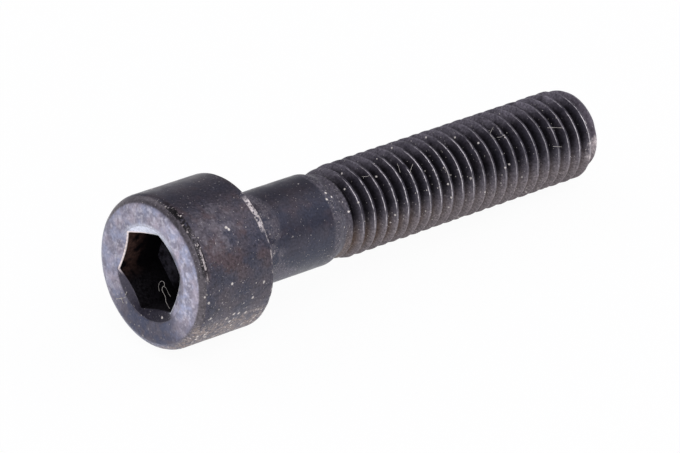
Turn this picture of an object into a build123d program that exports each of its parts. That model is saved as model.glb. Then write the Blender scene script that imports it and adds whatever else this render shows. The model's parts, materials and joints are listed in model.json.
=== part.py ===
"""Socket head cap screw, M8 by 40, partly threaded, lying on the rim of its head and on its thread.

The origin is the centre of the bearing face, under the head. +X runs from the head to the tip, +Z is up.
"""
import os
from math import atan2, ceil, cos, pi, radians, sin, tan

from build123d import *

# Head, in millimetres as all lengths here
head_diameter = 12.8
head_height = 7.65
head_edge_radius = 0.9
bearing_rim_chamfer = 0.2

# Hexagon socket for a 6 mm key, with a countersunk mouth and a shallow cone at its bottom
socket_across_flats = 6.1
socket_depth = 4.1
socket_floor_depth = 0.25
socket_mouth_diameter = 8.0
socket_mouth_angle = 120
socket_turn = 15

# Plain shank, its fillet under the head, and the shoulder down to the neck where the thread begins
screw_length = 39.5
shank_diameter = 7.72
shank_length = 9.5
shank_fillet = 0.5
shoulder_length = 0.85
shoulder_radius = 0.8
neck_length = 0.25

# Thread, right-handed, with flat crests and roots
thread_diameter = 7.82
thread_pitch = 1.25
thread_depth_share = 0.6134
flank_angle = 30
crest_share = 1 / 8
run_in_length = 1.7
run_out_length = 1.25
tip_chamfer_length = 0.75
tip_chamfer_depth = 0.41
steps_per_turn = 18

# Where the lowest corner of the thread lies in its step, so that the screw rests without rolling on
corner_share = 0.3

# One overrun serves all cuts
overrun = 2.0

head_radius = head_diameter / 2
shank_radius = shank_diameter / 2
crest_radius = thread_diameter / 2
thread_depth = thread_depth_share * thread_pitch
root_radius = crest_radius - thread_depth
neck_radius = (crest_radius + root_radius) / 2
tip_radius = crest_radius - tip_chamfer_depth
neck_start = shank_length + shoulder_length
neck_end = neck_start + neck_length
chamfer_start = screw_length - tip_chamfer_length

# Half widths of one ridge at its crest and at its root, along the axis
crest_half = crest_share * thread_pitch / 2
root_half = crest_half + thread_depth * tan(radians(flank_angle))

# The screw leans until the rim of its head and the lowest corner of the last full crest touch one level surface
lowest_radius = crest_radius * cos(2 * pi * corner_share / steps_per_turn)
lean = atan2(head_radius - lowest_radius, bearing_rim_chamfer + chamfer_start)
towards_tip = Vector(cos(lean), 0, -sin(lean))
towards_floor = Vector(-sin(lean), 0, -cos(lean))
screw_axis = Axis((0, 0, 0), towards_tip)

# Half sections are drawn along the axis and outwards, and the thread around the axis from the floor side
half_section = Plane(origin=(0, 0, 0), x_dir=towards_tip, z_dir=(0, -1, 0))
around_axis = Plane(origin=(0, 0, 0), x_dir=towards_floor, z_dir=towards_tip)
head_top = Plane(origin=towards_tip * -head_height, x_dir=(0, 1, 0), z_dir=-towards_tip)


def helix_point(radius, place, step):
    """A point of a helix that passes a place along the axis on the floor side, just before a corner."""
    turned_share = (step + corner_share) / steps_per_turn
    angle = 2 * pi * turned_share
    along = place + thread_pitch * turned_share
    return around_axis.from_local_coords((radius * cos(angle), radius * sin(angle), along))


def strip(first, second, step):
    """One step of a helical strip between two lines of the ridge's outline: a crest or root, or a flank."""
    start = [helix_point(*line, step) for line in (first, second)]
    end = [helix_point(*line, step + 1) for line in (first, second)]
    corners = [start + [end[1], end[0]]]
    if first[0] != second[0]:
        corners = [start + [end[0]], [start[1], end[1], end[0]]]
    return [Face(Wire.make_polygon(points)) for points in corners]


def closed_end(outline, step):
    """Closes one end of the thread: the ridge's section, and a fan from its first turn to the axis."""
    foot = outline[0]
    apex = helix_point(0, foot[1] + thread_pitch / 2, step)
    section = Face(Wire.make_polygon([apex] + [helix_point(*line, step) for line in outline]))
    fan = [
        Face(Wire.make_polygon([apex, helix_point(*foot, turned), helix_point(*foot, turned + 1)]))
        for turned in range(step, step + steps_per_turn)
    ]
    return [section] + fan


def threaded_rod():
    """A rod with a helical ridge, from inside the shank to past the tip, sewn from its strips."""
    last_crest = chamfer_start - crest_half
    whole_turns = ceil((last_crest - shank_length) / thread_pitch)
    start = last_crest - whole_turns * thread_pitch
    past_tip = ceil(overrun / thread_pitch)
    outline = [
        (root_radius, start - root_half),
        (crest_radius, start - crest_half),
        (crest_radius, start + crest_half),
        (root_radius, start + root_half),
        (root_radius, start + thread_pitch - root_half),
    ]
    last_step = (whole_turns + past_tip) * steps_per_turn
    faces = closed_end(outline, 0) + closed_end(outline, last_step)
    for step in range(last_step):
        for first, second in zip(outline, outline[1:]):
            faces += strip(first, second, step)
    return Solid(Shell(faces))


# The threaded rod, turned down to the neck where it begins and chamfered at the tip
rod = threaded_rod()
with BuildPart() as thread:
    add(rod)
    with BuildSketch(half_section):
        with BuildLine():
            Polyline(
                (neck_start, 0),
                (neck_start, neck_radius),
                (neck_end, neck_radius),
                (neck_end + run_in_length, crest_radius),
                (neck_end + run_in_length, crest_radius + overrun),
                (chamfer_start, crest_radius + overrun),
                (chamfer_start, crest_radius),
                (screw_length, tip_radius),
                (screw_length, 0),
                close=True,
            )
        make_face()
    revolve(axis=screw_axis, mode=Mode.INTERSECT)

with BuildPart() as cap_screw:
    # Head, shank and neck turned about the axis, with the run-out that fills the first grooves
    with BuildSketch(half_section):
        with BuildLine():
            FilletPolyline(
                (-head_height, 0),
                (-head_height, head_radius),
                (-bearing_rim_chamfer, head_radius),
                (0, head_radius - bearing_rim_chamfer),
                (0, shank_radius),
                (shank_length, shank_radius),
                (neck_start, neck_radius),
                (neck_end, neck_radius),
                (neck_end + run_out_length, root_radius),
                (neck_end + run_out_length, 0),
                radius=(0, head_edge_radius, 0, 0, shank_fillet, shoulder_radius, 0, 0, 0, 0),
                close=True,
            )
        make_face()
    revolve(axis=screw_axis)
    add(thread.part)

    # Hexagon socket
    with BuildSketch(head_top):
        RegularPolygon(socket_across_flats / 2, 6, major_radius=False, rotation=socket_turn)
    extrude(amount=-socket_depth, mode=Mode.SUBTRACT)

    # Countersunk mouth and the cone at the socket's bottom
    mouth_radius = socket_mouth_diameter / 2
    mouth_depth = mouth_radius / tan(radians(socket_mouth_angle / 2))
    floor_radius = socket_across_flats / 2
    with BuildSketch(half_section):
        with BuildLine():
            Polyline(
                (-head_height, 0),
                (-head_height, mouth_radius),
                (mouth_depth - head_height, 0),
                close=True,
            )
        make_face()
        with BuildLine():
            Polyline(
                (socket_depth - head_height, 0),
                (socket_depth - head_height, floor_radius),
                (socket_depth + socket_floor_depth - head_height, 0),
                close=True,
            )
        make_face()
    revolve(axis=screw_axis, mode=Mode.SUBTRACT)

os.makedirs("parts", exist_ok=True)
cap_screw.part.label = "cap_screw"
export_step(cap_screw.part, "parts/cap_screw.step")
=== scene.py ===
"""Looks of the cap screw: a fine mesh of its form, its worn black oxide, and the dust and lint on it.

The screw is modelled in millimetres along its own axis, x from the bearing face to the tip, and is then
leaned and made small into the frame's metres.
"""
import json
from math import atan2, cos, degrees, hypot, pi, radians, sin, sqrt, tan
from random import Random

import bmesh
import bpy
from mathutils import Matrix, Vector, noise


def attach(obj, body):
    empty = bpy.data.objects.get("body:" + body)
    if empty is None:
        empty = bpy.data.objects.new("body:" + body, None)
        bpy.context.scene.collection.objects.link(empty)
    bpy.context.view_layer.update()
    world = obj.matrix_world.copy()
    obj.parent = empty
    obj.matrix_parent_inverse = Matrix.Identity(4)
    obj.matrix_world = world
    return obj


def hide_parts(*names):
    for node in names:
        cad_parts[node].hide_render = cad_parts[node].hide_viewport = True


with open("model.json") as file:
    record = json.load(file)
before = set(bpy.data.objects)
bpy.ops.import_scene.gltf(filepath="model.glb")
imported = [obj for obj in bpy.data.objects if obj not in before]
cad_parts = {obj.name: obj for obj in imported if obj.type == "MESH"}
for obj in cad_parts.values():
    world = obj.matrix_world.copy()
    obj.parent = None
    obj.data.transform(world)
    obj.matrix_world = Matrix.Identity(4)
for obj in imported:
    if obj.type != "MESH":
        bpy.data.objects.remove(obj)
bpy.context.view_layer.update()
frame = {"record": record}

mounts = {mount["name"]: mount for mount in frame["record"]["mounts"]}

# Frame: metres in a millimetre, and the lean of the axis below +X
millimetre = 0.001
axis = mounts["shank"]["axis"]
lean = atan2(-axis[2], axis[0])

# Head
head_radius = 6.4
head_height = 7.65
head_edge_radius = 0.9
rim_chamfer = 0.2
rim_rounding = 0.08

# Socket, punched a little off the axis
socket_half_flats = 3.06
socket_flare = 0.09
socket_corner_angle = radians(45)
socket_offset = 0.2
socket_offset_angle = radians(14)
socket_depth = 4.1
socket_floor_depth = 0.25
mouth_radius = 4.0
mouth_half_angle = radians(65)
mouth_rounding = 0.07

# Shank, shoulder and neck
shank_radius = mounts["shank"]["dims"]["r_mm"]
shank_length = 9.5
shank_fillet = 0.5
shoulder_length = 0.85
shoulder_radius = 0.8
neck_length = 0.25
neck_rounding = 0.25

# Thread
crest_radius = mounts["thread"]["dims"]["r_mm"]
pitch = 1.25
thread_depth = 0.6134 * pitch
flank_angle = radians(30)
crest_half = pitch / 16
crest_rounding = 0.07
root_rounding = 0.12
run_in_length = 1.7
run_out_length = 1.25
screw_length = 39.5
tip_chamfer_length = 0.75
tip_chamfer_depth = 0.41
tip_rounding = 0.12
tip_dish = 0.15

# How finely the mesh is divided, how near points merge, and from which angle edges stay sharp
around = 144
span = 0.22
near = 0.0005
sharp_angle = radians(40)

root_radius = crest_radius - thread_depth
root_half = crest_half + thread_depth * tan(flank_angle)
neck_radius = (crest_radius + root_radius) / 2
neck_start = shank_length + shoulder_length
neck_end = neck_start + neck_length
chamfer_start = screw_length - tip_chamfer_length
last_crest = chamfer_start - crest_half


# Half sections

def rounded_line(corners, arc_steps):
    """Points of a turned outline through corners of (along, radius, rounding)."""
    points = []
    for place, (along, radius, rounding) in enumerate(corners):
        corner = Vector((along, radius))
        if not rounding:
            points.append(corner)
            continue
        before = (Vector(corners[place - 1][:2]) - corner).normalized()
        after = (Vector(corners[place + 1][:2]) - corner).normalized()
        half_angle = before.angle(after) / 2
        reach = rounding / tan(half_angle)
        centre = corner + (before + after).normalized() * rounding / sin(half_angle)
        start = (corner + before * reach - centre).normalized()
        end = (corner + after * reach - centre).normalized()
        points += [centre + rounding * start.slerp(end, step / arc_steps) for step in range(arc_steps + 1)]
    return points


def spaced(points, longest):
    """The same outline, with its long runs divided evenly."""
    divided = [points[0]]
    for start, end in zip(points, points[1:]):
        parts = max(1, round((end - start).length / longest))
        divided += [start.lerp(end, part / parts) for part in range(1, parts + 1)]
    return divided


def draw_line(name, points):
    """A new mesh with one line of edges through an outline's points, drawn on the floor side of the axis."""
    bpy.ops.object.select_all(action="DESELECT")
    bpy.ops.mesh.primitive_plane_add(size=1)
    line = bpy.context.object
    line.name = name
    bpy.ops.object.mode_set(mode="EDIT")
    bpy.ops.mesh.select_mode(type="VERT")
    bpy.ops.mesh.select_all(action="SELECT")
    bpy.ops.mesh.merge(type="CENTER")
    bpy.ops.transform.translate(value=(points[0].x, 0, -points[0].y))
    for start, end in zip(points, points[1:]):
        step = end - start
        bpy.ops.mesh.extrude_region_move(TRANSFORM_OT_translate={"value": (step.x, 0, -step.y)})
    return line


# Selecting and moving

def pick(*pieces):
    """Selects pieces alone and makes the first of them the active one."""
    bpy.ops.object.select_all(action="DESELECT")
    for piece in pieces:
        piece.select_set(True)
    bpy.context.view_layer.objects.active = pieces[0]


def select_rims(piece, lowest, highest):
    """Selects the open edges that lie between two places along the axis."""
    bpy.ops.mesh.select_mode(type="EDGE")
    bpy.ops.mesh.select_all(action="DESELECT")
    work = bmesh.from_edit_mesh(piece.data)
    for edge in work.edges:
        inside = all(lowest <= vertex.co.x <= highest for vertex in edge.verts)
        edge.select_set(edge.is_boundary and inside)
    bmesh.update_edit_mesh(piece.data)


def move_selected(piece, moved):
    """Moves each selected point to where moved(angle, radius) puts it, as (along, radius)."""
    work = bmesh.from_edit_mesh(piece.data)
    for vertex in work.verts:
        if vertex.select:
            angle = atan2(vertex.co.z, vertex.co.y)
            along, radius = moved(angle, hypot(vertex.co.y, vertex.co.z))
            vertex.co = (along, radius * cos(angle), radius * sin(angle))
    bmesh.update_edit_mesh(piece.data)


def extend_rim(piece, moved):
    """Extrudes the selected rim and moves its new edge."""
    bpy.ops.mesh.extrude_region_move()
    move_selected(piece, moved)


def close_rim():
    """Extrudes the selected rim and draws it together into one point."""
    bpy.ops.mesh.extrude_region_move()
    bpy.ops.mesh.merge(type="CENTER")


def soft_least(first, second, blend):
    """The smaller of two values, rounded over where they meet."""
    return (first + second - sqrt((first - second) ** 2 + blend**2)) / 2


def soft_most(first, second, blend):
    """The larger of two values, rounded over where they meet."""
    return -soft_least(-first, -second, blend)


def faded(value, low, high):
    """0 below low and 1 above high, with a smooth step between."""
    share = min(1, max(0, (value - low) / (high - low)))
    return share * share * (3 - 2 * share)


# Turned blank: head, shank, shoulder and neck

def turn_blank():
    """The outline spun about the axis, open at the socket's mouth and at the neck."""
    outline = rounded_line(
        [
            (-head_height, mouth_radius + mouth_rounding, 0),
            (-head_height, head_radius, head_edge_radius),
            (-rim_chamfer, head_radius, rim_rounding),
            (0, head_radius - rim_chamfer, rim_rounding),
            (0, shank_radius, shank_fillet),
            (shank_length, shank_radius, shoulder_radius),
            (neck_start, neck_radius, neck_rounding),
            (neck_end - neck_length / 3, neck_radius, 0),
        ],
        arc_steps=7,
    )
    blank = draw_line("cap_screw_worn", spaced(outline, span))
    bpy.ops.mesh.select_all(action="SELECT")
    bpy.ops.mesh.spin(steps=around, angle=2 * pi, center=(0, 0, 0), axis=(1, 0, 0))
    bpy.ops.mesh.select_all(action="SELECT")
    bpy.ops.mesh.remove_doubles(threshold=near)
    return blank


def socket_walls():
    """The direction that each of the socket's six walls lies in, and how far the offset moves it out."""
    directions = [socket_corner_angle + (wall + 0.5) * pi / 3 for wall in range(6)]
    return [(direction, socket_offset * cos(socket_offset_angle - direction)) for direction in directions]


def hexagon_radius(angle, flare=socket_flare):
    """Distance from the axis to the nearest of the socket's six walls in one direction."""
    return min(
        (socket_half_flats + flare + off_centre) / cos(angle - direction)
        for direction, off_centre in socket_walls()
        if cos(angle - direction) > 0.5
    )


def mouth_depth(radius):
    """Depth of the countersunk mouth at a distance from the axis."""
    return (mouth_radius - radius) / tan(mouth_half_angle)


def sink_socket(blank):
    """Countersunk mouth, six walls and a shallow cone, each edge a little rounded."""
    top = -head_height
    select_rims(blank, top - near, top + near)
    lip_depth = 0.02
    extend_rim(blank, lambda angle, radius: (top + lip_depth, mouth_radius))
    slope = mouth_rounding * 1.5
    extend_rim(blank, lambda angle, radius: (top + mouth_depth(mouth_radius - slope), mouth_radius - slope))
    for share in (0.5, 1):
        def on_mouth(angle, radius):
            edge = hexagon_radius(angle) + mouth_rounding
            place = (1 - share) * (mouth_radius - slope) + share * edge
            return top + mouth_depth(place), place
        extend_rim(blank, on_mouth)
    for turned in (0.35, 0.8):
        def on_edge(angle, radius):
            wall = hexagon_radius(angle)
            start = mouth_depth(wall + mouth_rounding)
            return top + start + mouth_rounding * turned, wall + mouth_rounding * (1 - turned) ** 2
        extend_rim(blank, on_edge)
    wall_steps = 12
    for step in range(1, wall_steps + 1):
        def on_wall(angle, radius):
            start = mouth_depth(hexagon_radius(angle) + mouth_rounding) + 2 * mouth_rounding
            wall = hexagon_radius(angle, socket_flare * max(0, 1 - 3 * step / wall_steps))
            return top + start + (socket_depth - start) * step / wall_steps, wall
        extend_rim(blank, on_wall)
    floor_radius = socket_half_flats - socket_offset
    for share in (1, 0.66, 0.33, 0.1):
        depth = socket_depth + socket_floor_depth * (1 - share)
        extend_rim(blank, lambda angle, radius: (top + depth, floor_radius * share))
    close_rim()


# Thread

def thread_radius(along, radius):
    """A ridge's radius after the run-in, the filled first grooves and the tip's chamfer."""
    blend = 0.04
    blended_until = 1.2
    rise = (along - neck_end) / run_in_length
    fill = (along - neck_end) / run_out_length
    run_in = neck_radius + (crest_radius - neck_radius) * rise
    filled = neck_radius + (root_radius - neck_radius) * fill
    chamfer = crest_radius - tip_chamfer_depth * (along - chamfer_start) / tip_chamfer_length
    if along < neck_end:
        return neck_radius
    shaped = soft_least(radius, chamfer + blend / 2, blend)
    if rise < blended_until:
        shaped = soft_least(shaped, run_in, blend)
    return soft_most(shaped, filled, blend) if fill < blended_until else shaped


def roll_thread():
    """One ridge wound on a screw's turns, faded in at the neck, chamfered and closed at the tip."""
    turns_before = int((last_crest - neck_start) / pitch) + 1
    first = last_crest - turns_before * pitch
    outline = rounded_line(
        [
            (first - pitch / 2, root_radius, 0),
            (first - root_half, root_radius, root_rounding),
            (first - crest_half, crest_radius, crest_rounding),
            (first + crest_half, crest_radius, crest_rounding),
            (first + root_half, root_radius, root_rounding),
            (first + pitch / 2, root_radius, 0),
        ],
        arc_steps=3,
    )
    thread = draw_line("thread", spaced(outline, span))
    bpy.ops.object.mode_set(mode="OBJECT")
    turns = thread.modifiers.new("turns", "SCREW")
    turns.axis = "X"
    turns.angle = 2 * pi
    turns.screw_offset = pitch
    turns.iterations = turns_before + 2
    turns.steps = around
    turns.render_steps = around
    bpy.ops.object.modifier_apply(modifier=turns.name)
    bpy.ops.object.mode_set(mode="EDIT")
    bpy.ops.mesh.select_all(action="SELECT")
    bpy.ops.mesh.remove_doubles(threshold=near)
    bpy.ops.mesh.select_all(action="SELECT")
    work = bmesh.from_edit_mesh(thread.data)
    for vertex in work.verts:
        radius = hypot(vertex.co.y, vertex.co.z)
        scale = thread_radius(vertex.co.x, radius) / radius
        vertex.co = (vertex.co.x, vertex.co.y * scale, vertex.co.z * scale)
    bmesh.update_edit_mesh(thread.data)
    for place, inner in ((neck_end, True), (screw_length - tip_rounding, False)):
        bpy.ops.mesh.select_all(action="SELECT")
        bpy.ops.mesh.bisect(
            plane_co=(place, 0, 0),
            plane_no=(1, 0, 0),
            threshold=near,
            clear_inner=inner,
            clear_outer=not inner,
        )
    select_rims(thread, screw_length - tip_rounding - near, screw_length)
    for turned in (30, 60, 90):
        rise = tip_rounding * sin(radians(turned))
        inset = tip_rounding * (cos(radians(turned - 30)) - cos(radians(turned)))
        extend_rim(thread, lambda angle, radius: (screw_length - tip_rounding + rise, radius - inset))
    for share in (0.85, 0.6, 0.35, 0.12):
        dish = tip_dish * (1 - share)
        extend_rim(thread, lambda angle, radius: (screw_length - dish, root_radius * share))
    close_rim()
    bpy.ops.object.mode_set(mode="OBJECT")
    return thread


def join_screw(blank, thread):
    """Blank and thread as one closed mesh."""
    pick(blank, thread)
    bpy.ops.object.join()
    bpy.ops.object.mode_set(mode="EDIT")
    select_rims(blank, neck_start, neck_end + near)
    bpy.ops.mesh.bridge_edge_loops()
    bpy.ops.mesh.select_all(action="SELECT")
    bpy.ops.mesh.normals_make_consistent(inside=False)
    bpy.ops.object.mode_set(mode="OBJECT")


# Wear in the form: how deep each kind goes, and how many nicks there are, where and how large
wave_depth = 0.014
ripple_depth = 0.006
chip_depth = 0.16
nick_depth = 0.07
nick_count = 90
nicked_span = (11.5, 38.6)
nick_sizes = (0.2, 0.5)
knock_depth = 0.1
crest_unevenness = 0.03


def place_on(along, angle, radius):
    """A point in millimetres at an angle about the axis, in degrees from +Y towards the top."""
    return Vector((along, radius * cos(radians(angle)), radius * sin(radians(angle))))


def angle_share(angle, centre, half_width):
    """1 at a centre angle, falling to 0 at half a width from it, in degrees."""
    apart = abs((angle - centre + 180) % 360 - 180)
    return 1 - faded(apart, half_width * 0.5, half_width)


def wear_form(screw):
    """Forging waves all over, chips on the head's rear rim, nicked crests and a knocked tip."""
    draw = Random(8)
    nicks = [
        (place_on(draw.uniform(*nicked_span), draw.uniform(0, 360), crest_radius), draw.uniform(*nick_sizes))
        for _ in range(nick_count)
    ]
    moved = []
    for vertex in screw.data.vertices:
        spot = vertex.co
        radius = hypot(spot.y, spot.z)
        angle = degrees(atan2(spot.z, spot.y))
        inward = wave_depth * noise.noise(spot * 0.7) + ripple_depth * noise.noise(spot * 2.3)
        rim = faded(spot.x, -0.75, -0.3) * faded(radius, 5.6, 6.1) * (1 - faded(spot.x, 0.02, 0.2))
        chipped = angle_share(angle, 132, 24) + 0.2 * angle_share(angle, 185, 40)
        rough = noise.fractal(spot * 1.7, 1.0, 2.0, 3)
        inward += chip_depth * rim * chipped * faded(rough, -0.1, 0.6)
        if spot.x > neck_end:
            for centre, size in nicks:
                apart = (spot - centre).length
                if apart < size:
                    inward += nick_depth * (1 - apart / size)
            knocked = faded(spot.x, 38.2, 38.9) * angle_share(angle, 182, 40)
            dented = noise.fractal(spot * 0.8 + Vector((5, 0, 0)), 1, 2, 1)
            inward += knock_depth * knocked * faded(dented, -0.5, 0.5)
            inward += crest_unevenness * faded(radius, 3.7, 3.85) * noise.noise(spot * 1.6)
        moved.append(spot - vertex.normal * inward)
    for vertex, spot in zip(screw.data.vertices, moved):
        vertex.co = spot


def into_frame(piece):
    """Leans a piece about the bearing face and makes it small, with its place in its mesh."""
    pick(piece)
    piece.scale = (millimetre,) * 3
    piece.rotation_euler = (0, lean, 0)
    bpy.ops.object.transform_apply(location=True, rotation=True, scale=True)


def make_screw():
    """The whole screw as one worn mesh in the frame."""
    blank = turn_blank()
    sink_socket(blank)
    bpy.ops.object.mode_set(mode="OBJECT")
    thread = roll_thread()
    join_screw(blank, thread)
    wear_form(blank)
    into_frame(blank)
    bpy.ops.object.shade_smooth_by_angle(angle=sharp_angle)
    return blank


# Strands of lint across the crests, as (along, angle) from end to end
crest_strand_thickness = 0.028
crest_strand_height = 0.03
crest_strands = [
    [(17.5, 117), (17.4, 123), (17.2, 129)],
    [(18.9, 124), (18.5, 128), (18.0, 135)],
    [(28.9, 111), (28.3, 116), (27.9, 121), (28.2, 127)],
    [(28.5, 126), (28.9, 128), (29.2, 126)],
    [(34.0, 135), (34.6, 137), (35.5, 141)],
    [(33.9, 159), (34.4, 161), (34.9, 163)],
    [(13.5, 118), (13.9, 121), (14.2, 120)],
    [(21.6, 141), (21.9, 146), (21.8, 151), (22.2, 152)],
]

# A tuft on the head's ring, as (radius, angle) from end to end
tuft_thickness = 0.045
tuft_height = 0.02
tuft_strands = [
    [(5.23, -43), (4.5, -47), (4.02, -48)],
    [(4.6, -45), (4.7, -51)],
    [(3.95, -46), (3.6, -44)],
]

# A hair that rises step by step in the socket and a level loop beside it, as (radius, angle) from end to end
hair_thickness = 0.035
hair_start = -5.65
hair_rise = 0.13
hair_points = [
    (2.6, -68), (2.15, -62), (1.38, -66), (1.11, -88), (1.35, -100), (1.42, -95), (1.67, -96),
    (1.88, -108), (2.15, -117), (2.41, -117), (2.8, -123), (3.1, -128),
]
loop_thickness = 0.03
loop_points = [(1.83, -75), (1.82, -86), (2.17, -91), (2.42, -100)]


def fibre(points, thickness):
    """One strand of lint through points in millimetres."""
    curve = bpy.data.curves.new("fibre", "CURVE")
    curve.dimensions = "3D"
    curve.bevel_depth = thickness / 2
    curve.bevel_resolution = 1
    curve.use_fill_caps = True
    strand = curve.splines.new("NURBS")
    strand.points.add(len(points) - 1)
    for point, place in zip(strand.points, points):
        point.co = (*place, 1)
    strand.order_u = 3
    strand.use_endpoint_u = True
    strand.resolution_u = 6
    made = bpy.data.objects.new("fibre", curve)
    bpy.context.scene.collection.objects.link(made)
    return made


def make_lint():
    """Strands on the thread, a tuft on the head's ring, and a hair with a loop in the socket."""
    strands = []
    for strand in crest_strands:
        points = [place_on(along, angle, crest_radius + crest_strand_height) for along, angle in strand]
        strands.append(fibre(points, crest_strand_thickness))
    for strand in tuft_strands:
        points = [place_on(-head_height - tuft_height, angle, radius) for radius, angle in strand]
        strands.append(fibre(points, tuft_thickness))
    hair = [
        place_on(hair_start - hair_rise * step, angle, radius)
        for step, (radius, angle) in enumerate(hair_points)
    ]
    strands.append(fibre(hair, hair_thickness))
    loop = [place_on(hair_start, angle, radius) for radius, angle in loop_points]
    strands.append(fibre(loop, loop_thickness))
    pick(*strands)
    bpy.ops.object.convert(target="MESH")
    bpy.ops.object.join()
    lint = bpy.context.object
    lint.name = "lint"
    into_frame(lint)
    bpy.ops.object.shade_smooth()
    return lint


# Shader helpers

def feed(tree, socket, value):
    """Links a socket to another, or sets its plain value."""
    if isinstance(value, bpy.types.NodeSocket):
        tree.links.new(value, socket)
    elif value is not None:
        socket.default_value = value


def calculate(tree, operation, first, second=None, clamped=False):
    """One step of arithmetic."""
    made = tree.nodes.new("ShaderNodeMath")
    made.operation = operation
    made.use_clamp = clamped
    feed(tree, made.inputs[0], first)
    feed(tree, made.inputs[1], second)
    return made.outputs[0]


def product(tree, *values):
    """Several values multiplied."""
    result = values[0]
    for value in values[1:]:
        result = calculate(tree, "MULTIPLY", result, value)
    return result


def most(tree, *values):
    """The largest of several values."""
    result = values[0]
    for value in values[1:]:
        result = calculate(tree, "MAXIMUM", result, value)
    return result


def fade(tree, value, low, high):
    """Mask that rises smoothly from 0 at low to 1 at high."""
    made = tree.nodes.new("ShaderNodeMapRange")
    made.interpolation_type = "SMOOTHSTEP"
    feed(tree, made.inputs["Value"], value)
    feed(tree, made.inputs["From Min"], low)
    feed(tree, made.inputs["From Max"], high)
    return made.outputs["Result"]


def window(tree, value, low, high, soft):
    """Mask that is 1 between two values and fades over a soft width outside them."""
    return product(tree, fade(tree, value, low - soft, low), fade(tree, value, high + soft, high))


def cover(tree, mask, under, over):
    """One colour laid over another by a mask."""
    made = tree.nodes.new("ShaderNodeMix")
    made.data_type = "RGBA"
    feed(tree, made.inputs["Factor"], mask)
    feed(tree, made.inputs["A"], under)
    feed(tree, made.inputs["B"], over)
    return made.outputs["Result"]


def shift(tree, mask, under, over):
    """One value changed to another by a mask."""
    made = tree.nodes.new("ShaderNodeMix")
    made.data_type = "FLOAT"
    feed(tree, made.inputs["Factor"], mask)
    feed(tree, made.inputs["A"], under)
    feed(tree, made.inputs["B"], over)
    return made.outputs["Result"]


def brightened(tree, colour, amount):
    """A colour made lighter or darker by a value."""
    made = tree.nodes.new("ShaderNodeVectorMath")
    made.operation = "SCALE"
    feed(tree, made.inputs[0], colour)
    feed(tree, made.inputs["Scale"], amount)
    return made.outputs["Vector"]


def grain(tree, place, scale, detail, offset=0.0):
    """Noise in millimetres, from about 0.2 to 0.8."""
    made = tree.nodes.new("ShaderNodeTexNoise")
    made.noise_dimensions = "4D"
    feed(tree, made.inputs["Vector"], place)
    feed(tree, made.inputs["W"], offset)
    feed(tree, made.inputs["Scale"], scale)
    feed(tree, made.inputs["Detail"], detail)
    return made.outputs["Fac"]


def new_group(name, inputs, outputs):
    """A shader node group with its sockets, and its input and output nodes."""
    group = bpy.data.node_groups.new(name, "ShaderNodeTree")
    for socket, kind in inputs:
        group.interface.new_socket(name=socket, in_out="INPUT", socket_type=kind)
    for socket, kind in outputs:
        group.interface.new_socket(name=socket, in_out="OUTPUT", socket_type=kind)
    return group, group.nodes.new("NodeGroupInput"), group.nodes.new("NodeGroupOutput")


def use_group(tree, group, **values):
    """A node group's outputs, with its inputs fed by their names."""
    made = tree.nodes.new("ShaderNodeGroup")
    made.node_tree = group
    for name, value in values.items():
        feed(tree, made.inputs[name.replace("_", " ").capitalize()], value)
    return made.outputs


number, vector = "NodeSocketFloat", "NodeSocketVector"


def make_place_group():
    """Place on the screw in millimetres: along its axis, out from it, and past a wall or a crest.

    Side and up give the direction from the axis, as shares of the distance from it.
    """
    group, given, made = new_group(
        "screw place",
        [],
        [
            ("Place", vector), ("Along", number), ("Radius", number), ("Side", number), ("Up", number),
            ("Past wall", number), ("Past crest", number),
        ],
    )
    group.nodes.remove(given)
    coordinates = group.nodes.new("ShaderNodeTexCoord")
    leaned = group.nodes.new("ShaderNodeMapping")
    leaned.inputs["Rotation"].default_value = (0, -lean, 0)
    leaned.inputs["Scale"].default_value = (1 / millimetre,) * 3
    group.links.new(coordinates.outputs["Object"], leaned.inputs["Vector"])
    parts = group.nodes.new("ShaderNodeSeparateXYZ")
    group.links.new(leaned.outputs["Vector"], parts.inputs["Vector"])
    across, upward = parts.outputs["Y"], parts.outputs["Z"]
    squares = calculate(group, "ADD", product(group, across, across), product(group, upward, upward))
    radius = calculate(group, "SQRT", squares)
    group.links.new(leaned.outputs["Vector"], made.inputs["Place"])
    group.links.new(parts.outputs["X"], made.inputs["Along"])
    group.links.new(radius, made.inputs["Radius"])
    group.links.new(calculate(group, "DIVIDE", across, radius), made.inputs["Side"])
    group.links.new(calculate(group, "DIVIDE", upward, radius), made.inputs["Up"])
    gaps = []
    for direction, off_centre in socket_walls():
        reach = group.nodes.new("ShaderNodeVectorMath")
        reach.operation = "DOT_PRODUCT"
        group.links.new(leaned.outputs["Vector"], reach.inputs[0])
        reach.inputs[1].default_value = (0, cos(direction), sin(direction))
        wall_distance = socket_half_flats + socket_flare + off_centre
        gaps.append(calculate(group, "SUBTRACT", reach.outputs["Value"], wall_distance))
    group.links.new(most(group, *gaps), made.inputs["Past wall"])
    angle = calculate(group, "ARCTAN2", upward, across)
    climbed = calculate(group, "ADD", product(group, angle, pitch / (2 * pi)), last_crest + pitch / 4)
    wrapped = group.nodes.new("ShaderNodeMath")
    wrapped.operation = "WRAP"
    feed(group, wrapped.inputs[0], calculate(group, "SUBTRACT", parts.outputs["X"], climbed))
    wrapped.inputs[1].default_value = pitch / 2
    wrapped.inputs[2].default_value = -pitch / 2
    group.links.new(wrapped.outputs[0], made.inputs["Past crest"])
    return group


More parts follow.
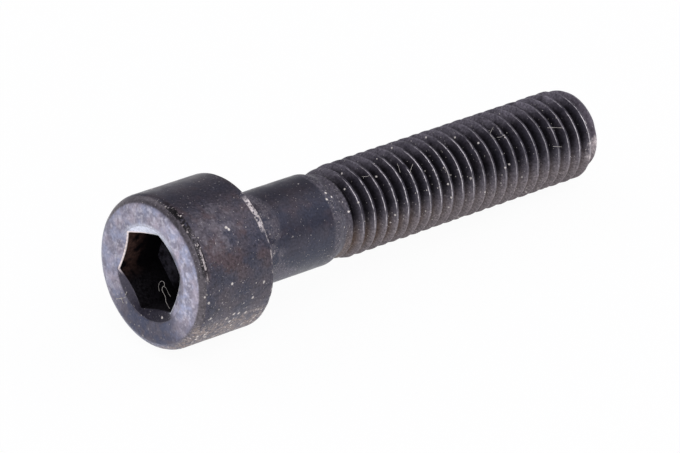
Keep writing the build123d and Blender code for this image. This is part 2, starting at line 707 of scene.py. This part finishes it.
def make_speck_group():
    """Scattered uneven specks of dust: some cells hold one, each of its own size."""
    raggedness = 0.1
    least_size_share = 0.35
    full_share = 0.5
    group, given, made = new_group(
        "dust specks",
        [("Place", vector), ("Cells per millimetre", number), ("Size", number), ("Share", number)],
        [("Specks", number)],
    )
    ragged = group.nodes.new("ShaderNodeTexNoise")
    group.links.new(given.outputs["Place"], ragged.inputs["Vector"])
    ragged.inputs["Scale"].default_value = 14.0
    pushed = group.nodes.new("ShaderNodeVectorMath")
    pushed.operation = "MULTIPLY_ADD"
    group.links.new(ragged.outputs["Color"], pushed.inputs[0])
    pushed.inputs[1].default_value = (raggedness,) * 3
    group.links.new(given.outputs["Place"], pushed.inputs[2])
    cells = group.nodes.new("ShaderNodeTexVoronoi")
    group.links.new(pushed.outputs["Vector"], cells.inputs["Vector"])
    group.links.new(given.outputs["Cells per millimetre"], cells.inputs["Scale"])
    chance = group.nodes.new("ShaderNodeSeparateColor")
    group.links.new(cells.outputs["Color"], chance.inputs["Color"])
    apart = calculate(group, "DIVIDE", cells.outputs["Distance"], given.outputs["Cells per millimetre"])
    size_share = calculate(group, "ADD", chance.outputs["Green"], least_size_share)
    size = product(group, given.outputs["Size"], size_share)
    spot = fade(group, apart, size, product(group, size, full_share))
    held = calculate(group, "LESS_THAN", chance.outputs["Red"], given.outputs["Share"])
    group.links.new(product(group, spot, held), made.inputs["Specks"])
    return group


def make_patch_group():
    """Cloudy patches with a hard or soft edge."""
    group, given, made = new_group(
        "patches",
        [("Place", vector), ("Scale", number), ("Seed", number), ("Low", number), ("High", number)],
        [("Mask", number)],
    )
    cloud = grain(group, given.outputs["Place"], given.outputs["Scale"], 5.0, given.outputs["Seed"])
    group.links.new(fade(group, cloud, given.outputs["Low"], given.outputs["High"]), made.inputs["Mask"])
    return group


# Finish colours, as linear red, green, blue and alpha
shank_blue = (0.045, 0.050, 0.080, 1)
shank_violet = (0.060, 0.058, 0.082, 1)
head_blue = (0.060, 0.064, 0.100, 1)
head_violet = (0.100, 0.086, 0.108, 1)
rust_brown = (0.135, 0.088, 0.092, 1)
thread_violet = (0.064, 0.056, 0.071, 1)
tip_violet = (0.19, 0.165, 0.20, 1)
# Painted shade laid on the top side
painted_top_shade = (0.045, 0.038, 0.050, 1)
ring_blue = (0.33, 0.345, 0.48, 1)
ring_rose = (0.40, 0.355, 0.43, 1)
ring_dull = (0.22, 0.205, 0.265, 1)
ring_pale = (0.56, 0.54, 0.63, 1)
# Painted shade for the ring's low foot
shaded_ring_foot_blue = (0.034, 0.042, 0.088, 1)
shaded_ring_foot_grey = (0.075, 0.068, 0.096, 1)
edge_grey = (0.14, 0.125, 0.14, 1)
# Painted reflection on the head's far rounded edge
far_edge_reflection_blue = (0.36, 0.38, 0.52, 1)
# Painted highlight at the top of the mouth
painted_mouth_highlight = (0.80, 0.83, 0.97, 1)
# Painted shade for the countersink's low side
shaded_crescent_dark = (0.030, 0.027, 0.042, 1)
shaded_crescent_grey = (0.095, 0.088, 0.115, 1)
# Painted highlight along the hexagon's edge
rim_highlight_blue = (0.88, 0.93, 1.0, 1)
rim_highlight_rose = (0.98, 0.86, 0.84, 1)
# Painted shade for the socket's inside
shaded_socket_black = (0.006, 0.004, 0.006, 1)
socket_rust = (0.12, 0.066, 0.054, 1)
# Painted sheen of light on the socket's bottom
painted_socket_sheen = (0.12, 0.115, 0.145, 1)
grime_black = (0.007, 0.006, 0.007, 1)
crumb_rose = (0.72, 0.64, 0.63, 1)
# Painted shade for the thread's grooves
shaded_groove_black = (0.008, 0.007, 0.009, 1)
groove_brown = (0.090, 0.060, 0.048, 1)
worn_crest = (0.95, 0.90, 0.92, 1)
bare_steel = (0.90, 0.82, 0.81, 1)
film_on_thread = (0.29, 0.265, 0.315, 1)
film_low_on_thread = (0.35, 0.305, 0.31, 1)
film_in_first_grooves = (0.24, 0.165, 0.125, 1)
film_on_head = (0.27, 0.245, 0.28, 1)
film_under_head = (0.32, 0.305, 0.355, 1)
dust_beige = (0.60, 0.50, 0.44, 1)
dust_white = (0.92, 0.86, 0.80, 1)
lint_grey = (0.58, 0.54, 0.50, 1)
lint_yellow = (0.86, 0.82, 0.74, 1)

# Marks by their place, as (along, angle, radius, reach): rust, scuffs and heaps of dust
rust_marks = [(-5.6, 148, head_radius, 1.4), (-4.6, 158, head_radius, 1.0)]
scuff_marks = [(-4.4, 132, head_radius, 2.6), (-5.8, 138, head_radius, 1.8)]
dust_heaps = [(3.0, 208, shank_radius, 1.6), (4.4, 215, shank_radius, 1.2)]

# Chips at the tip, as (along, angle, reach), at a little less than the crest's radius
chip_radius = crest_radius - 0.1
tip_chips = [
    (38.32, 117, 0.2), (38.43, 137, 0.2), (38.46, 144, 0.3), (38.51, 154, 0.25), (38.63, 170, 0.45),
    (39.0, 176, 0.95), (39.05, 187, 1.0), (38.2, 192, 0.4), (37.92, 174, 0.3), (37.43, 170, 0.25),
]

# Larger grains of dust, as (along, angle) on the head and the shank and (along, angle, radius) on the thread
head_grain_reach = 0.16
head_grains = [
    (-3.72, 134), (-3.55, 136), (-4.62, 174), (-2.51, -156), (-7.2, 176), (-7.0, -177), (-6.5, -163),
    (-3.9, -159), (-4.57, -157), (-3.33, -158), (-6.2, -147), (-4.35, -134), (-2.23, -169), (-1.21, -179),
]
shank_grain_reach = 0.14
shank_grains = [(9.58, 130), (9.27, 123), (9.0, 131)]
thread_grain_reach = 0.115
thread_grains = [
    (12.7, 95, 3.41), (10.83, 154, 3.56), (11.9, 147, 3.82), (15.27, 120, 3.36), (22.86, 84, 3.72),
    (25.26, 100, 3.47), (21.82, 162, 3.65), (21.98, 180, 3.81), (24.37, 164, 3.72), (26.67, 123, 3.6),
    (15.67, 178, 3.72), (15.54, -169, 3.41), (28.22, 165, 3.87), (25.87, -172, 3.91), (32.12, -135, 3.74),
    (19.1, 82, 3.74), (29.17, 165, 3.37), (11.56, 123, 3.43),
]


def black_oxide(place_group, speck_group, patch_group):
    """Worn black oxide, from the clean blue-black out to the dust that lies on it, with painted shade and
    light in places.
    """
    material = bpy.data.materials.new("worn black oxide")
    material.use_nodes = True
    tree = material.node_tree
    finish = tree.nodes["Principled BSDF"]
    here = use_group(tree, place_group)
    place, along, radius, up, side = (here[name] for name in ("Place", "Along", "Radius", "Up", "Side"))

    def patches(scale, seed, low, high):
        """Cloudy patches that start at one value of their noise and are full at another."""
        return use_group(tree, patch_group, place=place, scale=scale, seed=seed, low=low, high=high)["Mask"]

    def specks(cells, size, share):
        """Specks of up to a size, in a share of the cells that each millimetre holds."""
        return use_group(
            tree, speck_group, place=place, cells_per_millimetre=cells, size=size, share=share
        )["Specks"]

    def facing(angle, low, high):
        """Mask that rises towards one direction from the axis, by the cosine of the angle to it."""
        across = product(tree, side, cos(radians(angle)))
        upward = product(tree, up, sin(radians(angle)))
        return fade(tree, calculate(tree, "ADD", across, upward), low, high)

    def blots(spots):
        """Ragged marks at (along, angle, radius, reach), joined into one mask."""
        marks = []
        ragged = product(tree, calculate(tree, "SUBTRACT", grain(tree, place, 4.0, 2.0, 27.0), 0.5), 1.2)
        for spot_along, angle, spot_radius, reach in spots:
            apart = tree.nodes.new("ShaderNodeVectorMath")
            apart.operation = "DISTANCE"
            feed(tree, apart.inputs[0], place)
            apart.inputs[1].default_value = place_on(spot_along, angle, spot_radius)
            share = calculate(tree, "ADD", product(tree, apart.outputs["Value"], 1 / reach), ragged)
            marks.append(fade(tree, share, 1.0, 0.5))
        return most(tree, *marks)

    # Sides of the screw
    low_side = fade(tree, up, 0.3, -0.45)
    bottom_side = fade(tree, up, -0.2, -0.65)
    top_side = fade(tree, up, 0.75, 0.97)
    front_side = fade(tree, side, 0.1, -0.35)

    # Regions from the head to the tip
    top = -head_height
    head_part = fade(tree, along, 0.1, -0.1)
    head_wall = fade(tree, radius, 5.7, 6.0)
    outer_rim = fade(tree, radius, 6.0, 6.2)
    face = fade(tree, along, top + 0.3, top + 0.1)
    past_mouth = fade(tree, radius, mouth_radius - 0.1, mouth_radius + 0.05)
    ring = product(tree, face, past_mouth, fade(tree, radius, 5.92, 5.72))
    edge = product(tree, window(tree, along, top, top + 0.4, 0.15), fade(tree, radius, 5.6, 5.8))
    # Painted reflection: a pale blue band on the head's top edge, towards the back and low
    far_edge = product(tree, window(tree, along, top, top + 0.6, 0.3), facing(-45, 0.1, 0.6))
    far_edge = product(tree, far_edge, fade(tree, radius, 5.3, 5.6))
    in_mouth = fade(tree, radius, mouth_radius + 0.05, mouth_radius - 0.1)
    inside = product(tree, in_mouth, fade(tree, along, -1.0, -2.0))
    cone = calculate(tree, "ADD", product(tree, radius, -1 / tan(mouth_half_angle)), mouth_depth(0) + top)
    past_cone = calculate(tree, "SUBTRACT", along, cone)
    socket = product(tree, inside, fade(tree, past_cone, 0.04, 0.1))
    mouth = product(tree, inside, fade(tree, past_cone, 0.1, 0.04))
    near_head = product(tree, window(tree, along, 0.0, 2.5, 1.5), fade(tree, radius, 4.6, 4.2))
    plain_shank = window(tree, along, 2.5, 8.0, 0.8)
    shoulder = window(tree, along, 9.1, 11.0, 0.4)
    thread_part = fade(tree, along, neck_start - 0.1, neck_start + 0.3)
    before_chamfer = fade(tree, along, chamfer_start + 0.1, chamfer_start - 0.1)
    below_crest = fade(tree, radius, crest_radius - 0.1, root_radius + 0.1)
    groove = product(tree, thread_part, below_crest, before_chamfer)
    tip_part = fade(tree, along, 38.1, 38.7)

    # Oxide colours: blue-black on the shank, browner on the head, duller on the thread; painted shade
    # darkens the top side
    colour = cover(tree, patches(0.45, 0.0, 0.35, 0.65), shank_blue, shank_violet)
    head_colour = cover(tree, patches(0.6, 4.0, 0.35, 0.65), head_blue, head_violet)
    colour = cover(tree, head_part, colour, head_colour)
    brown = product(tree, patches(0.7, 3.0, 0.48, 0.66), shift(tree, head_part, 0.25, 0.7))
    brown = product(tree, brown, fade(tree, up, -0.1, 0.4))
    brown = most(tree, brown, product(tree, blots(rust_marks), 0.8))
    colour = cover(tree, brown, colour, rust_brown)
    colour = cover(tree, product(tree, thread_part, 0.7), colour, thread_violet)
    colour = cover(tree, tip_part, colour, tip_violet)
    # Painted shade: the top side darker
    colour = cover(tree, product(tree, top_side, 0.5), colour, painted_top_shade)

    # Bright ring with clouds, a painted highlight at the top of the mouth, a painted shade at its low foot,
    # and the edges around it
    bright = cover(tree, patches(0.8, 1.0, 0.4, 0.65), ring_blue, ring_rose)
    bright = cover(tree, product(tree, patches(1.3, 2.0, 0.42, 0.62), 0.8), bright, ring_dull)
    bright = cover(tree, product(tree, patches(2.6, 6.0, 0.5, 0.68), 0.7), bright, ring_pale)
    bright = brightened(tree, bright, shift(tree, fade(tree, side, 0.3, -0.8), 1.0, 1.25))
    # Painted highlight: near white on the ring's top side, next to the mouth
    lit = product(tree, fade(tree, radius, 4.35, 3.75), facing(85, 0.55, 0.9))
    bright = cover(tree, lit, bright, painted_mouth_highlight)
    # Painted shade: the ring darker and bluer low down, at its foot
    foot = cover(tree, patches(1.3, 24.0, 0.42, 0.58), shaded_ring_foot_blue, shaded_ring_foot_grey)
    ring_colour = cover(tree, product(tree, fade(tree, up, -0.35, -0.95), 0.9), bright, foot)
    colour = cover(tree, edge, colour, edge_grey)
    colour = cover(tree, product(tree, far_edge, 0.85), colour, far_edge_reflection_blue)
    colour = cover(tree, ring, colour, ring_colour)

    # Countersunk mouth with a painted shade as a dark crescent low down, and a painted highlight as a bright
    # line along the hexagon
    # Painted shade: the countersink dark on its low side, greyer towards the far side
    crescent = cover(tree, fade(tree, side, 0.3, 0.75), shaded_crescent_dark, shaded_crescent_grey)
    mouth_colour = cover(tree, facing(-75, 0.35, 0.6), bright, crescent)
    # Painted highlight: a bright line along the hexagon's edge, except low down, bluish at the front and
    # rosy at the back
    rim_highlight_line = product(tree, window(tree, here["Past wall"], 0.0, 0.09, 0.03), facing(-75, 0.62, 0.45))
    rim_highlight_colour = cover(tree, fade(tree, side, -0.2, 0.5), rim_highlight_blue, rim_highlight_rose)
    mouth_colour = cover(tree, product(tree, rim_highlight_line, 0.9), mouth_colour, rim_highlight_colour)
    colour = cover(tree, mouth, colour, mouth_colour)

    # Socket painted near black as shade, rusty on one wall, with a painted sheen on its bottom
    rusty = product(tree, facing(25, 0.5, 0.9), patches(1.5, 7.0, 0.36, 0.58), fade(tree, along, -5.0, -6.6))
    # Painted shade: the socket's inside near black
    hollow = cover(tree, rusty, shaded_socket_black, socket_rust)
    # Painted sheen: the socket's bottom lighter on one side, as if lit
    bottom = fade(tree, along, top + socket_depth - 0.05, top + socket_depth)
    bottom = product(tree, bottom, facing(-20, 0.70, 0.94), patches(1.8, 29.0, 0.3, 0.6))
    hollow = cover(tree, bottom, hollow, painted_socket_sheen)
    colour = cover(tree, socket, colour, hollow)

    # Pitted grime along the foot of the head's rounded edge, with crumbs and a scuff beside it
    band = window(tree, along, top + 0.38, top + 0.78, 0.08)
    band = product(tree, band, fade(tree, radius, 5.9, 6.15), front_side, fade(tree, up, 0.15, 0.45))
    grime = product(tree, band, patches(2.6, 5.0, 0.37, 0.44))
    colour = cover(tree, grime, colour, grime_black)
    crumbs = product(tree, band, patches(4.5, 8.0, 0.58, 0.64))
    scuff = product(tree, window(tree, along, -7.08, -6.98, 0.04), fade(tree, radius, 6.1, 6.25), front_side)
    scuff = product(tree, scuff, window(tree, up, 0.26, 0.58, 0.08), patches(1.6, 10.0, 0.36, 0.5))
    colour = cover(tree, product(tree, most(tree, crumbs, scuff), 0.9), colour, crumb_rose)

    # Thread: painted shade in the grooves with brown dirt low down, and the line worn bright along the
    # head's side of each crest
    # Painted shade: the grooves near black, with brown dirt in them low down
    groove_shade_and_dirt = cover(tree, low_side, shaded_groove_black, groove_brown)
    colour = cover(tree, product(tree, groove, 0.85), colour, groove_shade_and_dirt)
    line = window(tree, here["Past crest"], -crest_half - 0.02, -crest_half + 0.01, 0.015)
    line = product(tree, line, thread_part, fade(tree, radius, crest_radius - 0.2, crest_radius - 0.1))
    line = product(tree, line, patches(1.1, 9.0, 0.30, 0.54), patches(3.5, 16.0, 0.2, 0.55))
    line = product(tree, line, shift(tree, facing(152, 0.5, 0.85), 0.08, 1.0))
    line = product(tree, line, shift(tree, window(tree, along, 26, 35, 2), 1.0, 0.5))
    line = product(tree, line, shift(tree, fade(tree, up, 0.2, -0.4), 1.0, 0.6))
    colour = cover(tree, line, colour, worn_crest)

    # Bare chips on the rear rim and at the tip, and a thin broken line along that rim
    chips = product(tree, window(tree, along, -0.6, 0.02, 0.12), outer_rim, front_side)
    chips = product(tree, chips, window(tree, up, 0.62, 0.85, 0.07))
    chips = product(tree, chips, patches(1.9, 11.0, 0.42, 0.49), patches(5.0, 14.0, 0.36, 0.46))
    rear_line = product(tree, window(tree, along, -0.3, -0.2, 0.06), outer_rim, front_side)
    rear_line = product(tree, rear_line, window(tree, up, -0.3, 0.9, 0.1), patches(3.5, 12.0, 0.46, 0.56))
    tip_marks = blots([(spot, angle, chip_radius, reach) for spot, angle, reach in tip_chips])
    bare = most(tree, chips, product(tree, rear_line, 0.6), tip_marks)
    colour = cover(tree, bare, colour, bare_steel)

    # Film of fine dust, thicker low down, near the head, on top of the thread and at the tip
    hazy = product(tree, facing(65, 0.6, 0.95), patches(0.9, 28.0, 0.25, 0.6))
    thread_film = shift(tree, hazy, 0.07, shift(tree, fade(tree, along, 24, 35), 0.75, 1.0))
    thread_film = calculate(tree, "ADD", thread_film, product(tree, fade(tree, up, 0.42, -0.38), 1.1))
    thread_film = product(tree, thread_film, thread_part, shift(tree, groove, 1.2, 0.65))
    head_film = product(tree, head_part, shift(tree, bottom_side, shift(tree, top_side, 0.2, 0.06), 0.85))
    settled = most(tree, product(tree, near_head, patches(1.3, 25.0, 0.34, 0.6)), blots(dust_heaps))
    settled = product(tree, settled, 0.85)
    shoulder_film = product(tree, shoulder, 0.6)
    tip_film = product(tree, tip_part, 0.5)
    film = most(tree, thread_film, head_film, settled, shoulder_film, tip_film, 0.06)
    film_grain = shift(tree, product(tree, thread_part, 0.35), patches(6.5, 15.0, 0.2, 0.75), 0.55)
    scuffs = product(tree, blots(scuff_marks), patches(1.6, 22.0, 0.4, 0.6), 0.5)
    film = calculate(tree, "ADD", product(tree, film, film_grain), scuffs, clamped=True)
    film = product(tree, film, shift(tree, most(tree, ring, socket, mouth), 1.0, 0.1))
    thread_dust = cover(tree, low_side, film_on_thread, film_low_on_thread)
    first_grooves = product(tree, groove, low_side, fade(tree, along, 24, 14))
    thread_dust = cover(tree, first_grooves, thread_dust, film_in_first_grooves)
    head_dust = cover(tree, bottom_side, film_on_head, film_under_head)
    colour = cover(tree, film, colour, cover(tree, thread_part, head_dust, thread_dust))

    # Beige dust low on the front of the head
    beige = product(tree, window(tree, up, -0.95, -0.5, 0.15), front_side)
    beige = product(tree, beige, window(tree, along, -7.4, -0.4, 0.2), head_part, head_wall)
    beige = product(tree, beige, patches(1.4, 26.0, 0.36, 0.56), patches(4.5, 18.0, 0.42, 0.54))
    colour = cover(tree, product(tree, beige, 0.7), colour, dust_beige)

    # Specks of dust in three sizes, clumps and larger grains, more of them low down and near the head
    crowd = product(tree, low_side, shift(tree, thread_part, 1.0, 0.4))
    crowd = most(tree, crowd, product(tree, near_head, 0.8), product(tree, shoulder, 0.7))
    crowd = most(tree, crowd, product(tree, band, 0.5))
    under_head = product(tree, head_part, bottom_side)
    heaped = product(tree, under_head, 0.4)
    sparse = shift(tree, plain_shank, 1.0, 0.35)
    middle_share = calculate(tree, "ADD", product(tree, shift(tree, crowd, 0.12, 0.5), sparse), heaped)
    coarse_share = calculate(tree, "ADD", product(tree, shift(tree, crowd, 0.07, 0.5), sparse), heaped)
    fine = specks(7.0, 0.036, shift(tree, crowd, shift(tree, thread_part, 0.2, 0.1), 0.55))
    middle = specks(3.2, 0.055, middle_share)
    coarse = specks(1.5, 0.105, coarse_share)
    clumps = specks(2.7, 0.14, product(tree, under_head, head_wall, 0.75))
    grains = most(
        tree,
        blots([(*spot, head_radius, head_grain_reach) for spot in head_grains]),
        blots([(*spot, shank_radius, shank_grain_reach) for spot in shank_grains]),
        blots([(*spot, thread_grain_reach) for spot in thread_grains]),
    )
    small = most(tree, product(tree, fine, 0.6), product(tree, middle, 0.9))
    small = product(tree, small, shift(tree, mouth, 1.0, 0.3))
    dust = most(tree, small, coarse, clumps, grains)
    dust = product(tree, dust, shift(tree, socket, 1.0, 0.0), shift(tree, ring, 1.0, 0.3))
    colour = cover(tree, dust, colour, dust_white)

    # Fine uneven tone, strongest on the head and the shoulder, and a dimmer belt along the head's sides
    strength = shift(tree, most(tree, head_part, shoulder), shift(tree, thread_part, 1.2, 1.5), 1.9)
    strength = shift(tree, most(tree, ring, mouth), strength, 0.9)
    fleck = calculate(tree, "SUBTRACT", grain(tree, place, 5.0, 2.0, 20.0), 0.5)
    tone = calculate(tree, "MAXIMUM", calculate(tree, "ADD", product(tree, fleck, strength), 1.0), 0.2)
    dim = product(tree, head_part, window(tree, up, -0.2, 0.25, 0.2), fade(tree, radius, 6.0, 6.3))
    colour = brightened(tree, colour, product(tree, tone, shift(tree, dim, 1.0, 0.85)))
    feed(tree, finish.inputs["Base Color"], colour)

    # Metal and its oil show where there is no dust
    loose = most(tree, dust, film, beige)
    feed(tree, finish.inputs["Metallic"], shift(tree, loose, 0.95, 0.0))
    sheen = shift(tree, patches(1.2, 17.0, 0.3, 0.7), 0.36, 0.48)
    sheen = shift(tree, most(tree, loose, socket), shift(tree, ring, sheen, 0.42), 0.9)
    feed(tree, finish.inputs["Roughness"], sheen)
    oil = shift(tree, most(tree, loose, socket, groove, mouth), 0.2, 0.0)
    feed(tree, finish.inputs["Coat Weight"], oil)
    finish.inputs["Coat Roughness"].default_value = 0.3

    # Fine relief: forged grain, pits and the thickness of the dust
    forged = product(tree, grain(tree, place, 9.0, 3.0, 19.0), 0.6)
    relief = calculate(tree, "ADD", forged, product(tree, dust, 1.2))
    relief = calculate(tree, "SUBTRACT", relief, product(tree, grime, 0.8))
    bump = tree.nodes.new("ShaderNodeBump")
    bump.inputs["Strength"].default_value = 0.6
    bump.inputs["Distance"].default_value = 0.03 * millimetre
    feed(tree, bump.inputs["Height"], relief)
    feed(tree, finish.inputs["Normal"], bump.outputs["Normal"])
    return material


def lint_fibre(patch_group, place_group):
    """Pale, slightly yellow strands."""
    material = bpy.data.materials.new("pale lint")
    material.use_nodes = True
    tree = material.node_tree
    finish = tree.nodes["Principled BSDF"]
    here = use_group(tree, place_group)
    clouds = use_group(tree, patch_group, place=here["Place"], scale=2.0, seed=21.0, low=0.35, high=0.65)
    feed(tree, finish.inputs["Base Color"], cover(tree, clouds["Mask"], lint_grey, lint_yellow))
    finish.inputs["Roughness"].default_value = 0.7
    return material


# Stage: a floor in metres that mostly shows as plain white, and the studio's greys
floor_size = 8
floor_paint = (0.9, 0.9, 0.9, 1)
white_strength = 1.03
white_share = 0.92
horizon_grey = (0.42, 0.42, 0.47, 1)
overhead_grey = (0.28, 0.27, 0.31, 1)


def make_floor(screw):
    """White floor under the screw's lowest point, which keeps its shadow."""
    floor_height = min(vertex.co.z for vertex in screw.data.vertices)
    bpy.ops.object.select_all(action="DESELECT")
    bpy.ops.mesh.primitive_plane_add(size=floor_size, location=(0, 0, floor_height))
    floor = bpy.context.object
    floor.name = "floor"
    bpy.ops.object.transform_apply(location=True)
    material = bpy.data.materials.new("white floor")
    material.use_nodes = True
    tree = material.node_tree
    tree.nodes.remove(tree.nodes["Principled BSDF"])
    paint = tree.nodes.new("ShaderNodeBsdfDiffuse")
    paint.inputs["Color"].default_value = floor_paint
    white = tree.nodes.new("ShaderNodeEmission")
    white.inputs["Strength"].default_value = white_strength
    path = tree.nodes.new("ShaderNodeLightPath")
    rays = ("Is Camera Ray", "Is Glossy Ray", "Is Transmission Ray")
    seen = most(tree, *(path.outputs[ray] for ray in rays))
    both = tree.nodes.new("ShaderNodeMixShader")
    feed(tree, both.inputs["Fac"], product(tree, seen, white_share))
    tree.links.new(paint.outputs["BSDF"], both.inputs[1])
    tree.links.new(white.outputs["Emission"], both.inputs[2])
    tree.links.new(both.outputs["Shader"], tree.nodes["Material Output"].inputs["Surface"])
    floor.data.materials.append(material)


def light_studio():
    """A dim studio above the white floor, and three large soft lamps."""
    world = bpy.data.worlds.new("studio")
    bpy.context.scene.world = world
    world.use_nodes = True
    tree = world.node_tree
    background = tree.nodes["Background"]
    coordinates = tree.nodes.new("ShaderNodeTexCoord")
    parts = tree.nodes.new("ShaderNodeSeparateXYZ")
    tree.links.new(coordinates.outputs["Generated"], parts.inputs["Vector"])
    height = fade(tree, parts.outputs["Z"], 0.0, 0.75)
    feed(tree, background.inputs["Color"], cover(tree, height, horizon_grey, overhead_grey))
    lamps = (
        ("key", (-0.45, -0.8, 0.85), 1.4, 5.0),
        ("fill", (0.8, -0.35, 0.9), 1.4, 3.0),
        ("back", (-0.2, 0.9, 0.9), 1.2, 2.5),
    )
    for name, place, size, power in lamps:
        lamp = bpy.data.lights.new(name, "AREA")
        lamp.shape = "DISK"
        lamp.size = size
        lamp.energy = power
        holder = bpy.data.objects.new(name, lamp)
        holder.location = place
        holder.rotation_euler = (-Vector(place)).to_track_quat("-Z", "Y").to_euler()
        bpy.context.scene.collection.objects.link(holder)


def place_camera():
    """The photograph's long lens, looking down along the screw from the head's side."""
    azimuth, elevation = radians(-42.99), radians(26.92)
    target = Vector((13.300, 0.355, -2.646)) * millimetre
    distance = 411.57 * millimetre
    back = Vector((sin(azimuth) * cos(elevation), -cos(azimuth) * cos(elevation), sin(elevation)))
    lens = bpy.data.cameras.new("camera")
    lens.lens = 266
    lens.sensor_width = 36
    lens.clip_start = 0.01
    camera = bpy.data.objects.new("camera", lens)
    camera.location = target + back * distance
    camera.rotation_euler = (-back).to_track_quat("-Z", "Y").to_euler()
    bpy.context.scene.collection.objects.link(camera)
    bpy.context.scene.camera = camera


screw = make_screw()
lint = make_lint()

place_group = make_place_group()
speck_group = make_speck_group()
patch_group = make_patch_group()
screw.data.materials.clear()
screw.data.materials.append(black_oxide(place_group, speck_group, patch_group))
lint.data.materials.clear()
lint.data.materials.append(lint_fibre(patch_group, place_group))

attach(screw, "root")
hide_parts("cap_screw")
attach(lint, "root")

make_floor(screw)
light_studio()
place_camera()
bpy.context.scene.view_settings.view_transform = "Standard"
